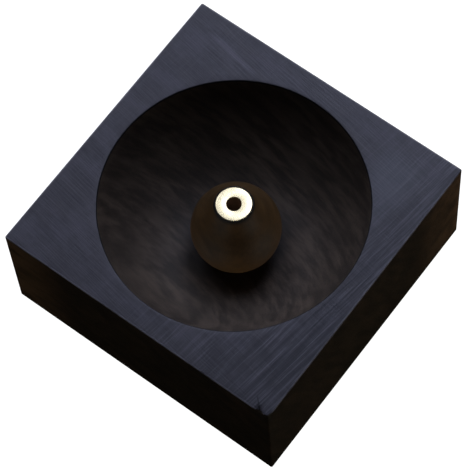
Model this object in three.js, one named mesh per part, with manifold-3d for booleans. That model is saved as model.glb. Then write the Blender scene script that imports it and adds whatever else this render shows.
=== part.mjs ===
// A square hardwood stick holder. The block has a round bowl turned into its top, and a turned ball
// stands in the bowl on a brass pin. The ball is drawn up into a short neck, and a brass ferrule in
// the neck holds the stick.
// The ball, with its ferrule, lifts straight off the pin so that the bowl can be emptied.
// Millimetres, +Z up, origin on the resting plane, under the middle of the block.

import * as THREE from "three";
import { mergeVertices } from "three/addons/utils/BufferGeometryUtils.js";
import Module from "manifold-3d";

const wasm = await Module();
wasm.setup();

// Block
const BLOCK_SIDE = 70;
const BLOCK_HEIGHT = 31.1;
const BLOCK_CORNER_RADIUS = 0.4; // the four upright edges
const EDGE_EASE = 0.25; // every other outer edge, and the bowl's rim

// Bowl, a spherical hollow in the top face
const RIM_RADIUS = 29.5;
const BOWL_DEPTH = 22.3;

// Ball
const BALL_RADIUS = 10;
const SEAT_RADIUS = 2.9; // flat under the ball, round the pin
const SEAT_CLEARANCE = 0.1; // between that flat and the floor of the bowl
const NECK_START = Math.PI / 4; // where the neck leaves the ball, as an angle from its top
const NECK_RADIUS = 4.4; // at the top of the neck
const NECK_DROP = 0.15; // from the ferrule's top down to the neck's

// Ferrule, a thick brass tube let into the neck
const FERRULE_RADIUS = 4;
const STICK_HOLE_RADIUS = 1.6;
const FERRULE_LENGTH = 11;
const FERRULE_DROP = 0.4; // from the block's top face down to the ferrule's top
const FERRULE_EASE = 0.3; // outer edges
const STICK_HOLE_EASE = 0.25; // mouth of the stick hole

// Pin, glued upright in the block
const PIN_RADIUS = 2;
const PIN_ABOVE_FLOOR = 6;
const PIN_BELOW_FLOOR = 5;
const PIN_EASE = 0.5;
const PIN_RUNNING_CLEARANCE = 0.1; // all round, in the ball
const END_CLEARANCE = 0.5; // beyond either end of the pin, and under the ferrule
const PRESSED_CLEARANCE = 0.05; // all round a pressed or glued piece

// Feet
const FOOT_RADIUS = 4.5;
const FOOT_HEIGHT = 1.5;
const FOOT_EASE = 0.35;
const FOOT_INSET = 9; // from each side of the block to a foot's centre
const GLUE_GAP = 0.05; // between a foot and the block

// Faceting
const BOWL_SEGMENTS = 72;
const BOWL_STEPS = 16;
const BALL_SEGMENTS = 48;
const BALL_STEPS = 14;
const NECK_STEPS = 5;
const SMALL_SEGMENTS = 32;
const CORNER_STEPS = 5;
const EASE_STEPS = 2;

// Heights worked out from the sizes above
const BLOCK_BOTTOM = FOOT_HEIGHT + GLUE_GAP;
const BLOCK_TOP = BLOCK_BOTTOM + BLOCK_HEIGHT;
const BOWL_FLOOR = BLOCK_TOP - BOWL_DEPTH;
const BOWL_RADIUS = (RIM_RADIUS ** 2 + BOWL_DEPTH ** 2) / (2 * BOWL_DEPTH);
const BOWL_CENTRE = BOWL_FLOOR + BOWL_RADIUS;
const SEAT_HEIGHT = BOWL_CENTRE - Math.sqrt(BOWL_RADIUS ** 2 - SEAT_RADIUS ** 2) + SEAT_CLEARANCE;
const BALL_CENTRE = SEAT_HEIGHT + Math.sqrt(BALL_RADIUS ** 2 - SEAT_RADIUS ** 2);
const PIN_TOP = BOWL_FLOOR + PIN_ABOVE_FLOOR;
const PIN_BOTTOM = BOWL_FLOOR - PIN_BELOW_FLOOR;
const FERRULE_TOP = BLOCK_TOP - FERRULE_DROP;
const FERRULE_BOTTOM = FERRULE_TOP - FERRULE_LENGTH;
const NECK_TOP = FERRULE_TOP - NECK_DROP;

const ebony = { color: 0x2b2a2f, roughness: 0.5, metalness: 0 };
const brownWood = { color: 0x3a2413, roughness: 0.45, metalness: 0 };
const brass = { color: 0xe8cf8a, roughness: 0.2, metalness: 1 };
const rubber = { color: 0x17171a, roughness: 0.8, metalness: 0 };

function solidOf(geometry) {
  const bare = geometry.clone();
  bare.deleteAttribute("normal");
  bare.deleteAttribute("uv");
  const merged = mergeVertices(bare, 1e-4);
  return new wasm.Manifold(
    new wasm.Mesh({
      numProp: 3,
      vertProperties: merged.attributes.position.array,
      triVerts: new Uint32Array(merged.index.array),
    }),
  );
}

function geometryOf(solid) {
  const mesh = solid.getMesh();
  const geometry = new THREE.BufferGeometry();
  geometry.setAttribute("position", new THREE.BufferAttribute(mesh.vertProperties, 3));
  geometry.setIndex(new THREE.BufferAttribute(mesh.triVerts, 1));
  geometry.computeVertexNormals();
  return geometry;
}

function cut(geometry, ...cutters) {
  const whole = solidOf(geometry);
  return geometryOf(cutters.reduce((left, cutter) => left.subtract(solidOf(cutter)), whole));
}

// Turns a profile of [radius, height] points, listed from the bottom up, about the Z axis.
function turned(profile, segments) {
  const points = profile.map(([radius, height]) => new THREE.Vector2(radius, height));
  return new THREE.LatheGeometry(points, segments).rotateX(Math.PI / 2);
}

function rod(radius, bottom, top, segments) {
  return turned([[0, bottom], [radius, bottom], [radius, top], [0, top]], segments);
}

// Points of an arc about [across, up], from one angle to another, counted from straight below.
function arc(radius, [across, up], from, to, steps) {
  return Array.from({ length: steps + 1 }, (_, i) => {
    const angle = from + ((to - from) * i) / steps;
    return [across + radius * Math.sin(angle), up - radius * Math.cos(angle)];
  });
}

function named(name, geometry, finish) {
  const mesh = new THREE.Mesh(geometry, new THREE.MeshStandardMaterial(finish));
  mesh.name = name;
  return mesh;
}

function roundedSquare(side, radius) {
  const reach = side / 2 - radius;
  const outline = new THREE.Shape();
  outline.absarc(reach, reach, radius, 0, Math.PI / 2);
  outline.absarc(-reach, reach, radius, Math.PI / 2, Math.PI);
  outline.absarc(-reach, -reach, radius, Math.PI, 1.5 * Math.PI);
  outline.absarc(reach, -reach, radius, 1.5 * Math.PI, 2 * Math.PI);
  outline.closePath();
  return outline;
}

// The hollow's lower part is a sphere, and its rim opens at 45 degrees as an eased edge.
function bowlCutter() {
  const rimHeight = BLOCK_TOP - EDGE_EASE;
  const rimAngle = Math.acos((BOWL_CENTRE - rimHeight) / BOWL_RADIUS);
  const wall = arc(BOWL_RADIUS, [0, BOWL_CENTRE], 0, rimAngle, BOWL_STEPS);
  const [rimRadius] = wall[wall.length - 1];
  const above = 1;
  const mouthRadius = rimRadius + EDGE_EASE + above;
  const profile = [...wall, [mouthRadius, BLOCK_TOP + above], [0, BLOCK_TOP + above]];
  return turned(profile, BOWL_SEGMENTS);
}

function baseBlock() {
  const blank = new THREE.ExtrudeGeometry(roundedSquare(BLOCK_SIDE, BLOCK_CORNER_RADIUS), {
    depth: BLOCK_HEIGHT - 2 * EDGE_EASE,
    bevelThickness: EDGE_EASE,
    bevelSize: EDGE_EASE,
    bevelOffset: -EDGE_EASE,
    bevelSegments: EASE_STEPS,
    curveSegments: CORNER_STEPS,
  }).translate(0, 0, BLOCK_BOTTOM + EDGE_EASE);
  const pinHole = rod(
    PIN_RADIUS + PRESSED_CLEARANCE,
    PIN_BOTTOM - END_CLEARANCE,
    BOWL_FLOOR + END_CLEARANCE,
    SMALL_SEGMENTS,
  );
  return named("base_block", cut(blank, bowlCutter(), pinHole), ebony);
}

// The side of the neck, a hollow arc that leaves the ball smoothly and ends at the neck's top edge.
function neckSide() {
  const rise = NECK_TOP - BALL_CENTRE;
  const ahead = NECK_RADIUS * Math.sin(NECK_START) + rise * Math.cos(NECK_START);
  const apart = (NECK_RADIUS ** 2 + rise ** 2 - BALL_RADIUS ** 2) / (2 * (ahead - BALL_RADIUS));
  const across = apart * Math.sin(NECK_START);
  const up = apart * Math.cos(NECK_START);
  const end = Math.atan2(across - NECK_RADIUS, up - rise);
  return arc(apart - BALL_RADIUS, [across, BALL_CENTRE + up], -NECK_START, -end, NECK_STEPS);
}

function holderBall() {
  const seatAngle = Math.asin(SEAT_RADIUS / BALL_RADIUS);
  const round = arc(BALL_RADIUS, [0, BALL_CENTRE], seatAngle, Math.PI - NECK_START, BALL_STEPS);
  const profile = [[0, SEAT_HEIGHT], ...round, ...neckSide().slice(1), [0, NECK_TOP]];
  const body = turned(profile, BALL_SEGMENTS);
  const ferruleHole = rod(
    FERRULE_RADIUS + PRESSED_CLEARANCE,
    FERRULE_BOTTOM - END_CLEARANCE,
    NECK_TOP + 1,
    SMALL_SEGMENTS,
  );
  const pinHole = rod(
    PIN_RADIUS + PIN_RUNNING_CLEARANCE,
    SEAT_HEIGHT - 1,
    PIN_TOP + END_CLEARANCE,
    SMALL_SEGMENTS,
  );
  return named("holder_ball", cut(body, ferruleHole, pinHole), brownWood);
}

function stickFerrule() {
  const profile = [
    [STICK_HOLE_RADIUS, FERRULE_BOTTOM],
    [FERRULE_RADIUS - FERRULE_EASE, FERRULE_BOTTOM],
    [FERRULE_RADIUS, FERRULE_BOTTOM + FERRULE_EASE],
    [FERRULE_RADIUS, FERRULE_TOP - FERRULE_EASE],
    [FERRULE_RADIUS - FERRULE_EASE, FERRULE_TOP],
    [STICK_HOLE_RADIUS + STICK_HOLE_EASE, FERRULE_TOP],
    [STICK_HOLE_RADIUS, FERRULE_TOP - STICK_HOLE_EASE],
    [STICK_HOLE_RADIUS, FERRULE_BOTTOM],
  ];
  return named("stick_ferrule", turned(profile, SMALL_SEGMENTS), brass);
}

function centrePin() {
  const profile = [
    [0, PIN_BOTTOM],
    [PIN_RADIUS - PIN_EASE, PIN_BOTTOM],
    [PIN_RADIUS, PIN_BOTTOM + PIN_EASE],
    [PIN_RADIUS, PIN_TOP - PIN_EASE],
    [PIN_RADIUS - PIN_EASE, PIN_TOP],
    [0, PIN_TOP],
  ];
  return named("centre_pin", turned(profile, SMALL_SEGMENTS), brass);
}

function foot(name, x, y) {
  const profile = [
    [0, 0],
    [FOOT_RADIUS - FOOT_EASE, 0],
    [FOOT_RADIUS, FOOT_EASE],
    [FOOT_RADIUS, FOOT_HEIGHT],
    [0, FOOT_HEIGHT],
  ];
  const mesh = named(name, turned(profile, SMALL_SEGMENTS), rubber);
  mesh.position.set(x, y, 0);
  return mesh;
}

function feet() {
  const reach = BLOCK_SIDE / 2 - FOOT_INSET;
  const corners = [["front_right", 1, -1], ["back_right", 1, 1], ["back_left", -1, 1], ["front_left", -1, -1]];
  return corners.map(([corner, x, y]) => foot(`foot_${corner}`, x * reach, y * reach));
}

const base = new THREE.Group();
base.add(baseBlock(), centrePin(), ...feet());

const liftOutBall = new THREE.Group();
liftOutBall.add(holderBall(), stickFerrule());

const holder = new THREE.Group();
holder.add(base, liftOutBall);

export default holder;
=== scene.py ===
"""The looks of the incense stick holder: a dark hardwood block with a turned bowl, and the ball,
ferrule, pin and feet that go with it. Metres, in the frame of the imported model."""

from math import acos, asin, atan2, cos, degrees, hypot, pi, radians, sin, sqrt

import bpy
from mathutils import Matrix, Vector


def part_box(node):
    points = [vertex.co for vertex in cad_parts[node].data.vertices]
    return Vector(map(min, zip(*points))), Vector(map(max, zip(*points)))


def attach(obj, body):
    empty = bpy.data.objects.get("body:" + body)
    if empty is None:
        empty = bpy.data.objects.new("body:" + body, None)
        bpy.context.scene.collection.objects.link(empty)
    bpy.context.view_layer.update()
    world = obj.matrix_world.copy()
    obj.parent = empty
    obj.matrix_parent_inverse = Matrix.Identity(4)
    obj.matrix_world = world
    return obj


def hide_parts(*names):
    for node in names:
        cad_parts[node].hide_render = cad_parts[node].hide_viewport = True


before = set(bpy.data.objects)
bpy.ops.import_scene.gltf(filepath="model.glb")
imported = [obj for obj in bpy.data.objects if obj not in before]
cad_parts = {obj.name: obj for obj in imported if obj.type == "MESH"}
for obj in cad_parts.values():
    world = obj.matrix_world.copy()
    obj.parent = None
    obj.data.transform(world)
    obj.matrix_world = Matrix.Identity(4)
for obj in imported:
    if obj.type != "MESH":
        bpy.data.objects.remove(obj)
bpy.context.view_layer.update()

# ---------------------------------------------------------------- sizes that the boxes don't give

MM = 0.001
RIM_RADIUS = 29.5 * MM
BOWL_DEPTH = 22.3 * MM
BLOCK_CORNER_RADIUS = 0.4 * MM
EDGE_EASE = 0.25 * MM
SEAT_RADIUS = 2.9 * MM
NECK_START = pi / 4
NECK_RADIUS = 4.4 * MM
STICK_HOLE_RADIUS = 1.6 * MM
END_CLEARANCE = 0.5 * MM
PRESSED_CLEARANCE = 0.05 * MM
PIN_RUNNING_CLEARANCE = 0.1 * MM
NECK_LIP = 0.28 * MM
FERRULE_EASE = 0.15 * MM
PIN_EASE = 0.5 * MM
FOOT_EASE = 0.35 * MM  # at the floor
FOOT_TOP_EASE = 0.15 * MM

block_low, block_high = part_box("base_block")
ball_low, ball_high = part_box("holder_ball")
ferrule_low, ferrule_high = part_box("stick_ferrule")
pin_low, pin_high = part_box("centre_pin")

HALF_SIDE = block_high.x
BLOCK_TOP = block_high.z
BLOCK_BOTTOM = block_low.z
BOWL_FLOOR = BLOCK_TOP - BOWL_DEPTH
BOWL_RADIUS = (RIM_RADIUS**2 + BOWL_DEPTH**2) / (2 * BOWL_DEPTH)
BOWL_CENTRE = BOWL_FLOOR + BOWL_RADIUS
BALL_RADIUS = ball_high.x
BALL_CENTRE = ball_low.z + sqrt(BALL_RADIUS**2 - SEAT_RADIUS**2)
FERRULE_RADIUS = ferrule_high.x
PIN_RADIUS = pin_high.x

# ---------------------------------------------------------------- camera

LENS = 205.19
SENSOR = 36
AZIMUTH, ELEVATION, ROLL = radians(41.849), radians(65.879), radians(-5.506)
# where the camera stands from the middle of the block's underside, along its own axes, in sides
# of the block: to its right, up its picture, and back from the object
ASIDE, ABOVE, DISTANCE = -0.0138, 0.0839, 8.5873


def make_camera():
    back = Vector((sin(AZIMUTH) * cos(ELEVATION), -cos(AZIMUTH) * cos(ELEVATION), sin(ELEVATION)))
    level = Vector((cos(AZIMUTH), sin(AZIMUTH), 0))
    upright = back.cross(level)
    right = level * cos(ROLL) + upright * sin(ROLL)
    up = upright * cos(ROLL) - level * sin(ROLL)
    side = 2 * HALF_SIDE
    place = side * (ASIDE * right + ABOVE * up + DISTANCE * back) + Vector((0, 0, BLOCK_BOTTOM))
    camera = bpy.data.objects.new("camera", bpy.data.cameras.new("camera"))
    bpy.context.scene.collection.objects.link(camera)
    camera.matrix_world = Matrix.Translation(place) @ Matrix((right, up, back)).transposed().to_4x4()
    camera.data.lens = LENS
    camera.data.sensor_width = SENSOR
    camera.data.clip_start = 0.05
    camera.data.clip_end = 20
    bpy.context.scene.camera = camera


# ---------------------------------------------------------------- mesh helpers

SHARPEST_SMOOTH_EDGE = radians(50)


def new_object(name, points, faces):
    mesh = bpy.data.meshes.new(name)
    mesh.from_pydata(points, [], faces)
    mesh.validate()
    mesh.polygons.foreach_set("use_smooth", [True] * len(mesh.polygons))
    mesh.set_sharp_from_angle(angle=SHARPEST_SMOOTH_EDGE)
    made = bpy.data.objects.new(name, mesh)
    bpy.context.scene.collection.objects.link(made)
    return made


def loft(rings):
    """Points and faces of a skin over rings of points. A ring of one point closes an end.
    The faces look outward where the rings run anticlockwise, seen from above, and climb the outside."""
    points, starts = [], []
    for ring in rings:
        starts.append(len(points))
        points.extend(ring)
    faces = []
    for k in range(len(rings) - 1):
        a, b = starts[k], starts[k + 1]
        m, n = len(rings[k]), len(rings[k + 1])
        count = max(m, n)
        for i in range(count):
            j = (i + 1) % count
            if m == 1:
                faces.append((a, b + j, b + i))
            elif n == 1:
                faces.append((a + i, a + j, b))
            else:
                faces.append((a + i, a + j, b + j, b + i))
    return points, faces


def circle(radius, height, segments):
    if radius == 0:
        return [(0.0, 0.0, height)]
    turns = [2 * pi * i / segments for i in range(segments)]
    return [(radius * cos(t), radius * sin(t), height) for t in turns]


def turned(name, profile, segments):
    """A body turned about Z from a profile of (radius, height), listed with the material on its left.
    The profile starts and ends on the axis, or ends where it starts."""
    rings = [circle(radius, height, segments) for radius, height in profile]
    points, faces = loft(rings)
    if profile[0] == profile[-1]:  # the last ring is the first one again
        last = len(points) - segments
        points = points[:last]
        faces = [tuple(v - last if v >= last else v for v in face) for face in faces]
    return new_object(name, points, faces)


def arc(centre, radius, start, end, steps):
    """Points of an arc in the plane of a profile. Angles, in degrees, are from straight down."""
    angles = [radians(start + (end - start) * i / steps) for i in range(steps + 1)]
    return [(centre[0] + radius * sin(a), centre[1] - radius * cos(a)) for a in angles]


# ---------------------------------------------------------------- block

SIDE_STEPS = 84
CORNER_STEPS = 12
BOWL_STEPS = 96
LIP = 0.3 * MM  # radius of the bowl's rounded rim
LIP_STEPS = 5
TOP_STEPS = 14
TOP_SPREAD = 0.85  # under 1, the rings on the top lie closer together towards the outside
EASE_STEPS = 6
WALL_STEPS = 24
UNDERSIDE_STEPS = 8


def square_ring(inset, height):
    """A rounded square, anticlockwise from above. Each point keeps its place whatever the inset."""
    radius = BLOCK_CORNER_RADIUS - inset
    reach = HALF_SIDE - inset - radius
    out = HALF_SIDE - inset
    ring = []
    for quarter in range(4):
        turn = quarter * pi / 2
        cx = reach * (cos(turn) - sin(turn))
        cy = reach * (sin(turn) + cos(turn))
        for i in range(CORNER_STEPS + 1):
            a = turn + (pi / 2) * i / CORNER_STEPS
            ring.append((cx + radius * cos(a), cy + radius * sin(a), height))
        # the side after this corner faces turn + 90 degrees, and its points crowd towards its ends
        for i in range(1, SIDE_STEPS):
            share = i / SIDE_STEPS
            along = reach * (cos(pi * share) + 1 - 2 * share) / 2
            ring.append((along * cos(turn) - out * sin(turn), along * sin(turn) + out * cos(turn), height))
    return ring


def round_ring(radius, height, guide):
    """A circle with its points at the same angles as those of the guide."""
    turns = [atan2(y, x) for x, y, _ in guide]
    return [(radius * cos(t), radius * sin(t), height) for t in turns]


def between(inner, outer, share):
    """A ring that lies a share of the way from one ring to another."""
    return [tuple(a + (b - a) * share for a, b in zip(p, q)) for p, q in zip(inner, outer)]


def eased_ring(share, face, inward):
    """One ring of a quarter-round edge: share 0 lies in the face, share 1 on the side."""
    a = share * pi / 2
    return square_ring(EDGE_EASE * (1 - sin(a)), face + inward * EDGE_EASE * (1 - cos(a)))


def bowl_rings(guide):
    """From the bottom of the pin hole, up the bowl to the top of its rounded rim."""
    hole_radius = PIN_RADIUS + PRESSED_CLEARANCE
    hole_bottom = pin_low.z - END_CLEARANCE
    rings = [round_ring(r, hole_bottom, guide) for r in (0.5 * hole_radius, hole_radius)]
    start = asin(hole_radius / BOWL_RADIUS)
    end = acos((BOWL_CENTRE - (BLOCK_TOP - LIP)) / BOWL_RADIUS)
    for i in range(BOWL_STEPS + 1):
        a = start + (end - start) * i / BOWL_STEPS
        rings.append(round_ring(BOWL_RADIUS * sin(a), BOWL_CENTRE - BOWL_RADIUS * cos(a), guide))
    rim = BOWL_RADIUS * sin(end)
    for i in range(1, LIP_STEPS + 1):
        a = (pi / 2) * i / LIP_STEPS
        rings.append(round_ring(rim + LIP * (1 - cos(a)), BLOCK_TOP - LIP + LIP * sin(a), guide))
    return [[(0, 0, hole_bottom)]] + rings


def block_rings():
    """The block's skin, from the middle of its underside, up the sides, over the top and down the bowl."""
    rings = bowl_rings(square_ring(0, 0))
    inner, outer = rings[-1], square_ring(EDGE_EASE, BLOCK_TOP)
    rings += [between(inner, outer, (i / TOP_STEPS) ** TOP_SPREAD) for i in range(1, TOP_STEPS)]
    rings += [eased_ring(i / EASE_STEPS, BLOCK_TOP, -1) for i in range(EASE_STEPS + 1)]
    high, low = BLOCK_TOP - EDGE_EASE, BLOCK_BOTTOM + EDGE_EASE
    rings += [square_ring(0, high + (low - high) * i / WALL_STEPS) for i in range(1, WALL_STEPS)]
    rings += [eased_ring(1 - i / EASE_STEPS, BLOCK_BOTTOM, 1) for i in range(EASE_STEPS + 1)]
    middle = (0, 0, BLOCK_BOTTOM)
    edge, middles = rings[-1], [middle] * len(outer)
    rings += [between(edge, middles, i / UNDERSIDE_STEPS) for i in range(1, UNDERSIDE_STEPS)]
    rings.append([middle])
    return rings[::-1]


WEAR = (  # knocks on the top edge: middle, reach and depth, and the way that the wood has gone
    (Vector((HALF_SIDE, -HALF_SIDE, BLOCK_TOP)), 1.6 * MM, 0.5 * MM, Vector((-1, 1, -0.3)).normalized()),
    (Vector((32.6 * MM, -HALF_SIDE, BLOCK_TOP)), 1.0 * MM, 0.55 * MM, Vector((0, 1, -0.8)).normalized()),
)


def worn(point):
    """A point of the new block, where it lies on the worn one."""
    place = Vector(point)
    moved = place.copy()
    for middle, reach, depth, way in WEAR:
        share = max(0.0, 1 - (place - middle).length_squared / reach**2)
        moved += way * depth * share
    return tuple(moved)


TOP, BOWL, SIDE = range(3)
BOWL_EDGE = RIM_RADIUS + EDGE_EASE  # outside the rounded rim
BELOW_TOP = BLOCK_TOP - 0.01 * MM
ABOVE_UNDERSIDE = BLOCK_BOTTOM + MM
TOP_FINISH_END = BLOCK_TOP - 0.75 * EDGE_EASE  # most of the way down the eased edge


def surface_of(middle):
    """Which of the block's three finishes a face has."""
    if hypot(middle.x, middle.y) < BOWL_EDGE and ABOVE_UNDERSIDE < middle.z < BELOW_TOP:
        return BOWL
    return TOP if middle.z > TOP_FINISH_END else SIDE


def make_block(*finishes):
    """The block, with its finishes in the order TOP, BOWL, SIDE."""
    points, faces = loft(block_rings())
    block = new_object("wood_block", [worn(point) for point in points], faces)
    for finish in finishes:
        block.data.materials.append(finish)
    for face in block.data.polygons:
        face.material_index = surface_of(face.center)
    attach(block, "base")
    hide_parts("base_block")


# ---------------------------------------------------------------- ball, ferrule, pin and feet


def neck_side():
    """The hollow side of the ball's neck, from where it leaves the ball to the end of its rounded lip.
    It is an arc that meets the ball without a corner, so its centre lies on the ball's radius there."""
    rise = ball_high.z - NECK_LIP - BALL_CENTRE
    ahead = NECK_RADIUS * sin(NECK_START) + rise * cos(NECK_START)
    apart = (NECK_RADIUS**2 + rise**2 - BALL_RADIUS**2) / (2 * (ahead - BALL_RADIUS))
    across, up = apart * sin(NECK_START), apart * cos(NECK_START)
    start, end = -degrees(NECK_START), -degrees(atan2(across - NECK_RADIUS, up - rise))
    side = arc((across, BALL_CENTRE + up), apart - BALL_RADIUS, start, end, steps=40)
    lip = arc((NECK_RADIUS - NECK_LIP, ball_high.z - NECK_LIP), NECK_LIP, 90, 180, steps=5)
    return side + lip[1:]


def make_ball(wood):
    bore = PIN_RADIUS + PIN_RUNNING_CLEARANCE
    bore_top = pin_high.z + END_CLEARANCE
    socket = FERRULE_RADIUS + PRESSED_CLEARANCE
    socket_bottom = ferrule_low.z - END_CLEARANCE
    start, end = degrees(asin(SEAT_RADIUS / BALL_RADIUS)), 180 - degrees(NECK_START)
    profile = [(0, bore_top), (bore, bore_top), (bore, ball_low.z), (SEAT_RADIUS, ball_low.z)]
    profile += arc((0, BALL_CENTRE), BALL_RADIUS, start, end, steps=80)[1:]
    profile += neck_side()[1:]
    profile += [(socket, ball_high.z), (socket, socket_bottom), (0, socket_bottom)]
    ball = turned("turned_ball", profile, segments=160)
    ball.data.materials.append(wood)
    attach(ball, "ball")
    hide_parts("holder_ball")
    return ball


def make_ferrule(metal):
    ease = FERRULE_EASE
    low, high = ferrule_low.z + ease, ferrule_high.z - ease
    outer, hole = FERRULE_RADIUS - ease, STICK_HOLE_RADIUS + ease
    profile = arc((hole, low), ease, -90, 0, steps=4)
    profile += arc((outer, low), ease, 0, 90, steps=4)
    profile += arc((outer, high), ease, 90, 180, steps=6)
    profile += arc((hole, high), ease, 180, 270, steps=6)
    profile.append(profile[0])
    ferrule = turned("brass_ferrule", profile, segments=128)
    ferrule.data.materials.append(metal)
    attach(ferrule, "ball")
    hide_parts("stick_ferrule")
    return ferrule


def make_pin(metal):
    reach = PIN_RADIUS - PIN_EASE
    profile = [(0, pin_low.z)]
    profile += arc((reach, pin_low.z + PIN_EASE), PIN_EASE, 0, 90, steps=6)
    profile += arc((reach, pin_high.z - PIN_EASE), PIN_EASE, 90, 180, steps=6)
    profile.append((0, pin_high.z))
    pin = turned("brass_pin", profile, segments=64)
    pin.data.materials.append(metal)
    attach(pin, "base")
    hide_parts("centre_pin")


def make_foot(node, black):
    low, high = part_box(node)
    middle = (low + high) / 2
    radius = (high.x - low.x) / 2
    profile = [(0, 0)]
    profile += arc((radius - FOOT_EASE, FOOT_EASE), FOOT_EASE, 0, 90, steps=6)
    profile += arc((radius - FOOT_TOP_EASE, high.z - FOOT_TOP_EASE), FOOT_TOP_EASE, 90, 180, steps=3)
    profile.append((0, high.z))
    foot = turned("rubber_" + node, profile, segments=64)
    foot.location = (middle.x, middle.y, 0)
    foot.data.materials.append(black)
    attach(foot, "base")
    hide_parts(node)


# ---------------------------------------------------------------- materials

FIRST_COLOUR, SECOND_COLOUR = 6, 7  # the inputs of a Mix node that take colours


def add(tree, kind, inputs=None, **settings):
    """A node, with each input linked to a socket or set to a value."""
    node = tree.nodes.new("ShaderNode" + kind)
    for key, value in settings.items():
        setattr(node, key, value)
    for key, value in (inputs or {}).items():
        if isinstance(value, bpy.types.NodeSocket):
            tree.links.new(value, node.inputs[key])
        else:
            node.inputs[key].default_value = value
    return node


def new_material(name, **constants):
    material = bpy.data.materials.new(name)
    material.use_nodes = True
    tree = material.node_tree
    shader = tree.nodes["Principled BSDF"]
    for key, value in constants.items():
        shader.inputs[key].default_value = value
    return material, tree, shader


def coordinates(tree):
    """Each point's place in its own piece, in metres. All pieces but the feet sit at the frame's origin."""
    return add(tree, "TexCoord").outputs["Object"]


def split(tree, vector):
    """The three parts of a vector."""
    return add(tree, "SeparateXYZ", {0: vector}).outputs


def dot(tree, vector, way):
    return add(tree, "VectorMath", {0: vector, 1: way}, operation="DOT_PRODUCT").outputs["Value"]


def reckon(tree, operation, a, b=0.0):
    return add(tree, "Math", {0: a, 1: b}, operation=operation).outputs[0]


def times(tree, value, factor):
    return reckon(tree, "MULTIPLY", value, factor)


def ranged(tree, value, low, high, new_low=0.0, new_high=1.0):
    """A smooth step from new_low to new_high, as the value goes from low to high."""
    inputs = {"Value": value, "From Min": low, "From Max": high, "To Min": new_low, "To Max": new_high}
    return add(tree, "MapRange", inputs, interpolation_type="SMOOTHSTEP").outputs[0]


def mixed(tree, share, a, b):
    """The colour a, with a share of the colour b in it."""
    node = add(tree, "Mix", {"Factor": share}, data_type="RGBA")
    for key, value in ((FIRST_COLOUR, a), (SECOND_COLOUR, b)):
        if isinstance(value, bpy.types.NodeSocket):
            tree.links.new(value, node.inputs[key])
        else:
            node.inputs[key].default_value = (*value, 1)
    return node.outputs[2]


def places(tree, turn=(0, 0, 0), scale=(1, 1, 1), shift=(0, 0, 0)):
    """Coordinates that are turned and shifted, and then scaled."""
    inputs = {"Vector": coordinates(tree), "Rotation": turn, "Location": shift}
    moved = add(tree, "Mapping", inputs).outputs[0]
    return add(tree, "VectorMath", {0: moved, 1: scale}, operation="MULTIPLY").outputs[0]


def fibres(tree, vector, detail=3.0, roughness=0.6):
    """Noise from 0 to 1, drawn out into fibres by the scale of its coordinates."""
    inputs = {"Vector": vector, "Scale": 1.0, "Detail": detail, "Roughness": roughness}
    return add(tree, "TexNoise", inputs).outputs["Fac"]


def relief(tree, shader, height, strength, depth=0.05 * MM):
    """Bumps from a height of 0 to 1, which stands for the depth."""
    bump = add(tree, "Bump", {"Height": height, "Strength": strength, "Distance": depth})
    tree.links.new(bump.outputs[0], shader.inputs["Normal"])


FIBRE_TURN = (0, 0, radians(9.5))  # brings the block's fibres on to X
SANDING_TURN = (0, 0, radians(-82))  # brings the sanding marks on to X
BALL_TURN = (0, 0, radians(25))  # brings the ball's fibres on to X
LAYER_NORMAL = Vector((0.16, 0.86, 0.48)).normalized()  # across the growth layers
FIBRE_WAY = Vector((0.86, -0.16, 0)).normalized()  # along the fibres, in the layers

# marks on the top, each from one point to another
# a pale streak at the back left of the top: a rub mark painted in as a highlight
RUB_MARK_HIGHLIGHT = (-29.5 * MM, 30.2 * MM), (-13.5 * MM, 27.2 * MM)
# a painted highlight: a pale blue-grey patch on the right of the top, where the windows' sheen falls
PAINTED_SHEEN_PATCH = (21 * MM, 8 * MM), (25 * MM, 33 * MM)
CRACK = (30.0 * MM, -32.0 * MM), (33.0 * MM, -35.0 * MM)


def in_layers(tree, along, across, shift=0.0):
    """Coordinates along the fibres and across the growth layers, each scaled."""
    own = coordinates(tree)
    x = dot(tree, own, FIBRE_WAY * along)
    y = dot(tree, own, LAYER_NORMAL * across)
    z = dot(tree, own, FIBRE_WAY.cross(LAYER_NORMAL) * along)
    return add(tree, "CombineXYZ", {0: x, 1: reckon(tree, "ADD", y, shift), 2: z}).outputs[0]


def grain(tree):
    """The block's growth layers and its fine fibres, each from 0 to 1."""
    fine = fibres(tree, places(tree, FIBRE_TURN, (110, 2600, 2600)), 4.0, 0.65)
    layers = fibres(tree, in_layers(tree, 130, 640))
    broad = fibres(tree, in_layers(tree, 60, 150, 3.0))
    bands = times(tree, ranged(tree, layers, 0.33, 0.68), ranged(tree, broad, 0.3, 0.65, 0.4, 1))
    return bands, ranged(tree, fine, 0.3, 0.7)


def stroke(tree, ends, width):
    """A soft-edged mark on the top, from one point to another, from 0 to 1."""
    start, end = (Vector((*point, 0)) for point in ends)
    length = (end - start).length
    way = (end - start).normalized()
    moved = add(tree, "VectorMath", {0: coordinates(tree), 1: start}, operation="SUBTRACT").outputs[0]
    along = dot(tree, moved, way)
    across = reckon(tree, "ABSOLUTE", dot(tree, moved, Vector((-way.y, way.x, 0))))
    body = ranged(tree, across, 0.2 * width, width, 1, 0)
    begun = ranged(tree, along, 0, 0.25 * length)
    ended = ranged(tree, along, 0.75 * length, length, 1, 0)
    return times(tree, body, times(tree, begun, ended))


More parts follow.
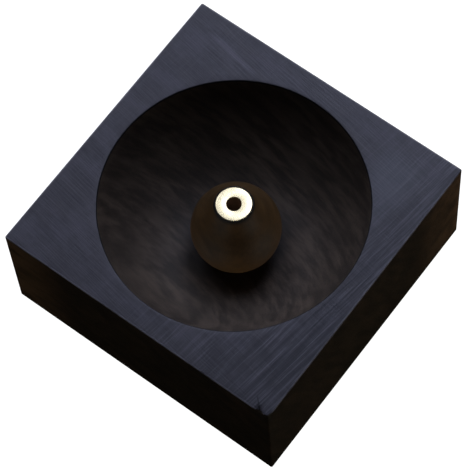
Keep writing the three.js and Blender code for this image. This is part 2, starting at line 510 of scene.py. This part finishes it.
def sanding_marks(tree):
    """Straight marks across the grain, pale ones and dark ones, strongest towards +X."""
    lines = fibres(tree, places(tree, SANDING_TURN, (95, 2500, 2500)), 3.0, 0.7)
    scores = fibres(tree, places(tree, SANDING_TURN, (30, 1500, 1500), (0.4, 0, 0)), 2.0)
    patch = fibres(tree, places(tree, SANDING_TURN, (45, 110, 110), (0.3, 0, 0)), 2.0)
    outward = dot(tree, coordinates(tree), (1, -0.25, 0))
    outer = ranged(tree, outward, 0, 0.85 * HALF_SIDE, 0.12, 1)
    strength = times(tree, outer, ranged(tree, patch, 0.35, 0.6, 0.5, 1))
    pale = times(tree, ranged(tree, lines, 0.46, 0.66), strength)
    outermost = ranged(tree, outward, 0.5 * HALF_SIDE, 1.05 * HALF_SIDE, 0.05, 1)
    dark = times(tree, ranged(tree, scores, 0.56, 0.38, 0.12, 1), outermost)
    return pale, dark


def painted_edge_highlight(tree):
    """A painted highlight along the outer edges of the top, from 0 to 1, in uneven stretches."""
    own = add(tree, "VectorMath", {0: coordinates(tree)}, operation="ABSOLUTE").outputs[0]
    x, y, _ = split(tree, own)
    edge = ranged(tree, reckon(tree, "MAXIMUM", x, y), HALF_SIDE - 0.5 * MM, HALF_SIDE - 0.2 * MM)
    highlight_breaks = fibres(tree, places(tree, scale=(160, 160, 160)))
    return times(tree, edge, ranged(tree, highlight_breaks, 0.3, 0.6, 0.35, 1))


def sanded_top():
    material, tree, shader = new_material("ebony_sanded", IOR=1.45)
    bands, fine = grain(tree)
    pale, dark = sanding_marks(tree)
    clouds = fibres(tree, places(tree, FIBRE_TURN, (70, 150, 150), (0.7, 0, 0)), 4.0, 0.65)
    colour = mixed(tree, bands, (0.026, 0.021, 0.026), (0.052, 0.043, 0.048))
    layers = (  # each over those before it: where it is, how much of it, and its colour
        (fine, 0.3, (0.06, 0.05, 0.052)),
        (ranged(tree, clouds, 0.42, 0.68), 0.7, (0.085, 0.076, 0.088)),
        # painted highlight: the windows' blue-grey sheen on the right of the top
        (stroke(tree, PAINTED_SHEEN_PATCH, 8 * MM), 0.35, (0.12, 0.125, 0.14)),
        # a rub mark painted in as a pale highlight
        (stroke(tree, RUB_MARK_HIGHLIGHT, 0.9 * MM), 0.35, (0.17, 0.155, 0.18)),
        (pale, 0.7, (0.16, 0.15, 0.165)),
        (dark, 0.75, (0.008, 0.008, 0.012)),
        # painted highlight along the outer edges of the top
        (painted_edge_highlight(tree), 0.75, (0.2, 0.19, 0.2)),
        (stroke(tree, CRACK, 0.22 * MM), 1.0, (0.002, 0.002, 0.002)),
    )
    for place, amount, layer in layers:
        colour = mixed(tree, times(tree, place, amount), colour, layer)
    tree.links.new(colour, shader.inputs["Base Color"])
    rough = reckon(tree, "ADD", clouds, times(tree, dark, 0.3))
    tree.links.new(ranged(tree, rough, 0.3, 0.7, 0.41, 0.5), shader.inputs["Roughness"])
    height = reckon(tree, "SUBTRACT", reckon(tree, "ADD", fine, pale), dark)
    relief(tree, shader, height, 0.3)
    return material


def turned_bowl():
    """Growth layers cut by the bowl, with a painted shadow round the ball's foot and a painted line of
    shade under the rim.
    """
    material, tree, shader = new_material("ebony_turned", IOR=1.55)
    bands, fine = grain(tree)
    colour = mixed(tree, bands, (0.036, 0.027, 0.018), (0.125, 0.091, 0.062))
    colour = mixed(tree, times(tree, fine, 0.25), colour, (0.115, 0.080, 0.055))
    own = coordinates(tree)
    flat = add(tree, "VectorMath", {0: own, 1: (1, 1, 0)}, operation="MULTIPLY").outputs[0]
    radius = add(tree, "VectorMath", {0: flat}, operation="LENGTH").outputs["Value"]
    # painted shadow: the floor round the ball's foot goes near black, standing in for the ball's contact
    # shadow
    foot = ranged(tree, radius, 0.85 * BALL_RADIUS, 1.3 * BALL_RADIUS, 0.8, 0)
    colour = mixed(tree, foot, colour, (0.006, 0.005, 0.005))
    # painted shade: a near-black line on the bowl's rounded rim and just under it
    rim = ranged(tree, split(tree, own)["Z"], BLOCK_TOP - 0.5 * MM, BLOCK_TOP - 0.3 * MM)
    colour = mixed(tree, rim, colour, (0.004, 0.003, 0.003))
    tree.links.new(colour, shader.inputs["Base Color"])
    rough = reckon(tree, "ADD", ranged(tree, fine, 0, 1, 0.54, 0.62), times(tree, rim, 0.3))
    tree.links.new(rough, shader.inputs["Roughness"])
    relief(tree, shader, fine, 0.25)
    return material


def oiled_side():
    """Dark oiled sides, with painted light that makes them browner near the two corners where X and Y are
    the same.
    """
    material, tree, shader = new_material("ebony_oiled", IOR=1.45)
    bands, fine = grain(tree)
    colour = mixed(tree, bands, (0.012, 0.009, 0.004), (0.050, 0.033, 0.019))
    colour = mixed(tree, times(tree, fine, 0.3), colour, (0.045, 0.026, 0.010))
    x, y, _ = split(tree, coordinates(tree))
    off = reckon(tree, "ABSOLUTE", reckon(tree, "SUBTRACT", x, y))
    mottle = fibres(tree, places(tree, FIBRE_TURN, (120, 260, 260), (0.2, 0, 0)))
    # painted light: a warm brown glow on the sides towards the corners where X and Y are the same, standing
    # in for light from there
    near = ranged(tree, off, 0, 0.55 * HALF_SIDE, 1, 0)
    painted_corner_light = times(tree, near, ranged(tree, mottle, 0.3, 0.6, 0.3, 1))
    colour = mixed(tree, painted_corner_light, colour, (0.165, 0.098, 0.052))
    tree.links.new(colour, shader.inputs["Base Color"])
    tree.links.new(ranged(tree, fine, 0, 1, 0.45, 0.58), shader.inputs["Roughness"])
    relief(tree, shader, fine, 0.25)
    return material


def brown_wood():
    """The ball's wood, near black in a thin band round the top of its neck, under the ferrule."""
    material, tree, shader = new_material("brown_wood", IOR=1.35)
    fine = fibres(tree, places(tree, BALL_TURN, (150, 2200, 2200)), 4.0)
    broad = fibres(tree, places(tree, BALL_TURN, (90, 420, 420)))
    fine_share = times(tree, ranged(tree, fine, 0.3, 0.7), 0.4)
    broad_share = times(tree, ranged(tree, broad, 0.25, 0.75), 0.6)
    share = reckon(tree, "ADD", fine_share, broad_share)
    colour = mixed(tree, share, (0.044, 0.023, 0.006), (0.088, 0.046, 0.014))
    height = split(tree, coordinates(tree))["Z"]
    # darker towards the top of the neck, near black just under the ferrule
    soot = ranged(tree, height, ball_high.z - 1.2 * MM, ball_high.z - 0.1 * MM, 0, 0.9)
    colour = mixed(tree, soot, colour, (0.006, 0.005, 0.002))
    tree.links.new(colour, shader.inputs["Base Color"])
    tree.links.new(ranged(tree, fine, 0.3, 0.7, 0.52, 0.62), shader.inputs["Roughness"])
    relief(tree, shader, fine, 0.25)
    return material


def brass():
    """Turned brass, lightly stained, with soot on the wall of the stick hole."""
    material, tree, shader = new_material("brass")
    own = coordinates(tree)
    x, y, z = split(tree, own)
    radius = reckon(tree, "SQRT", reckon(tree, "ADD", times(tree, x, x), times(tree, y, y)))
    rings = add(tree, "CombineXYZ", {"X": times(tree, radius, 9000), "Y": times(tree, z, 9000)}).outputs[0]
    stain = fibres(tree, places(tree, scale=(420, 420, 420)))
    colour = mixed(tree, ranged(tree, stain, 0.45, 0.75), (0.93, 0.78, 0.44), (0.86, 0.70, 0.38))
    wall = ranged(tree, radius, STICK_HOLE_RADIUS, 1.08 * STICK_HOLE_RADIUS, 1, 0)
    below = ranged(tree, z, ferrule_high.z - 0.4 * MM, ferrule_high.z - 0.1 * MM, 1, 0)
    inside = times(tree, wall, below)
    colour = mixed(tree, inside, colour, (0.30, 0.19, 0.12))
    tree.links.new(colour, shader.inputs["Base Color"])
    tree.links.new(reckon(tree, "SUBTRACT", 1.0, inside), shader.inputs["Metallic"])
    rough = reckon(tree, "ADD", ranged(tree, stain, 0.3, 0.7, 0.18, 0.3), times(tree, inside, 0.5))
    tree.links.new(rough, shader.inputs["Roughness"])
    relief(tree, shader, fibres(tree, rings, 2.0), 0.2, 0.01 * MM)
    return material


def rubber():
    material, tree, shader = new_material("rubber", IOR=1.5)
    dust = fibres(tree, places(tree, scale=(900, 900, 900)), 4.0)
    colour = mixed(tree, ranged(tree, dust, 0.4, 0.8), (0.012, 0.012, 0.013), (0.045, 0.043, 0.042))
    tree.links.new(colour, shader.inputs["Base Color"])
    tree.links.new(ranged(tree, dust, 0.3, 0.7, 0.65, 0.85), shader.inputs["Roughness"])
    relief(tree, shader, dust, 0.3, 0.04 * MM)
    return material


# ---------------------------------------------------------------- studio

COOL = (0.67, 0.74, 1.0)
WARM = (1.0, 0.92, 0.8)
LIGHT_DISTANCE = 0.45
FLOOR_GLOW_HEIGHT = -8
FLOOR_GLOW = {45: 0.16, 90: 0.15, 315: 0.075, 270: 0.06, 135: 0.1, 180: 0.1, 225: 0.1}  # watts by turn


def make_stage():
    """A white floor that curves up into a white wall all round. It glows, and neither lights nor
    shades the object."""
    flat, curve, wall_top = 2.0, 1.5, 4.0
    profile = [(0, 0), (0.4, 0), (flat, 0)]
    angles = [radians(a) for a in range(5, 91, 5)]
    profile += [(flat + curve * sin(a), curve - curve * cos(a)) for a in angles]
    profile += [(flat + curve, wall_top)]
    stage = turned("studio_floor", profile, segments=96)
    stage.data.flip_normals()
    material, tree, shader = new_material("studio_white", Roughness=0.9)
    shader.inputs["Base Color"].default_value = (0.12, 0.12, 0.12, 1)
    shader.inputs["Emission Color"].default_value = (1, 1, 1, 1)
    shader.inputs["Emission Strength"].default_value = 1.1
    stage.data.materials.append(material)
    stage.visible_diffuse = False
    stage.visible_glossy = False
    stage.visible_shadow = False


def direction(turn, height):
    """Unit vector at turn degrees round from the camera's side, and height degrees up."""
    a, e = AZIMUTH + radians(turn), radians(height)
    return Vector((sin(a) * cos(e), -cos(a) * cos(e), sin(e)))


def make_light(name, towards, size, power, colour, distance=LIGHT_DISTANCE):
    """A soft box that looks at the middle of the block's top from the direction given."""
    data = bpy.data.lights.new(name, "AREA")
    data.shape = "RECTANGLE"
    data.size, data.size_y = size
    data.energy = power
    data.color = colour
    light = bpy.data.objects.new(name, data)
    bpy.context.scene.collection.objects.link(light)
    light.location = Vector((0, 0, BLOCK_TOP)) + towards * distance
    light.rotation_mode = "QUATERNION"
    light.rotation_quaternion = towards.to_track_quat("Z", "Y")
    light.visible_camera = False
    return light


def light_only(light, piece):
    """Keeps a light to one piece, which is also the only one that shades it."""
    lit = bpy.data.collections.new(light.name + "_lights")
    lit.objects.link(piece)
    light.light_linking.receiver_collection = lit
    light.light_linking.blocker_collection = lit


def make_lights(ball, ferrule):
    """Cool windows behind the object, and weak warm light on the sides and on the ball."""
    make_light("window_right", direction(150, 53), (0.2, 0.3), 0.62, COOL)
    make_light("window_back", direction(176, 36), (0.3, 0.2), 0.48, COOL)
    make_light("window_left", direction(215, 50), (0.2, 0.2), 0.27, COOL)
    # light that the floor would send back up: it comes from low down, so none gets into the bowl
    for turn, power in FLOOR_GLOW.items():
        make_light(f"floor_glow_{turn}", direction(turn, FLOOR_GLOW_HEIGHT), (0.2, 0.2), power, WARM)
    for side in (-1, 1):
        towards = direction(55 * side, -17)
        light_only(make_light(f"ball_glow_{side}", towards, (0.12, 0.12), 0.19, WARM, distance=0.3), ball)
    light_only(make_light("ring_glow", direction(180, 66), (0.2, 0.2), 0.11, COOL), ferrule)
    light_only(make_light("hole_glow", direction(0, 72), (0.05, 0.05), 0.085, WARM), ferrule)


def make_world():
    world = bpy.data.worlds.new("world")
    world.use_nodes = True
    world.node_tree.nodes["Background"].inputs["Strength"].default_value = 0.0
    bpy.context.scene.world = world


def main():
    make_camera()
    make_block(sanded_top(), turned_bowl(), oiled_side())
    ball = make_ball(brown_wood())
    metal = brass()
    ferrule = make_ferrule(metal)
    make_pin(metal)
    black = rubber()
    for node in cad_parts:
        if node.startswith("foot_"):
            make_foot(node, black)
    make_stage()
    make_world()
    make_lights(ball, ferrule)
    bpy.context.scene.view_settings.view_transform = "Standard"


main()
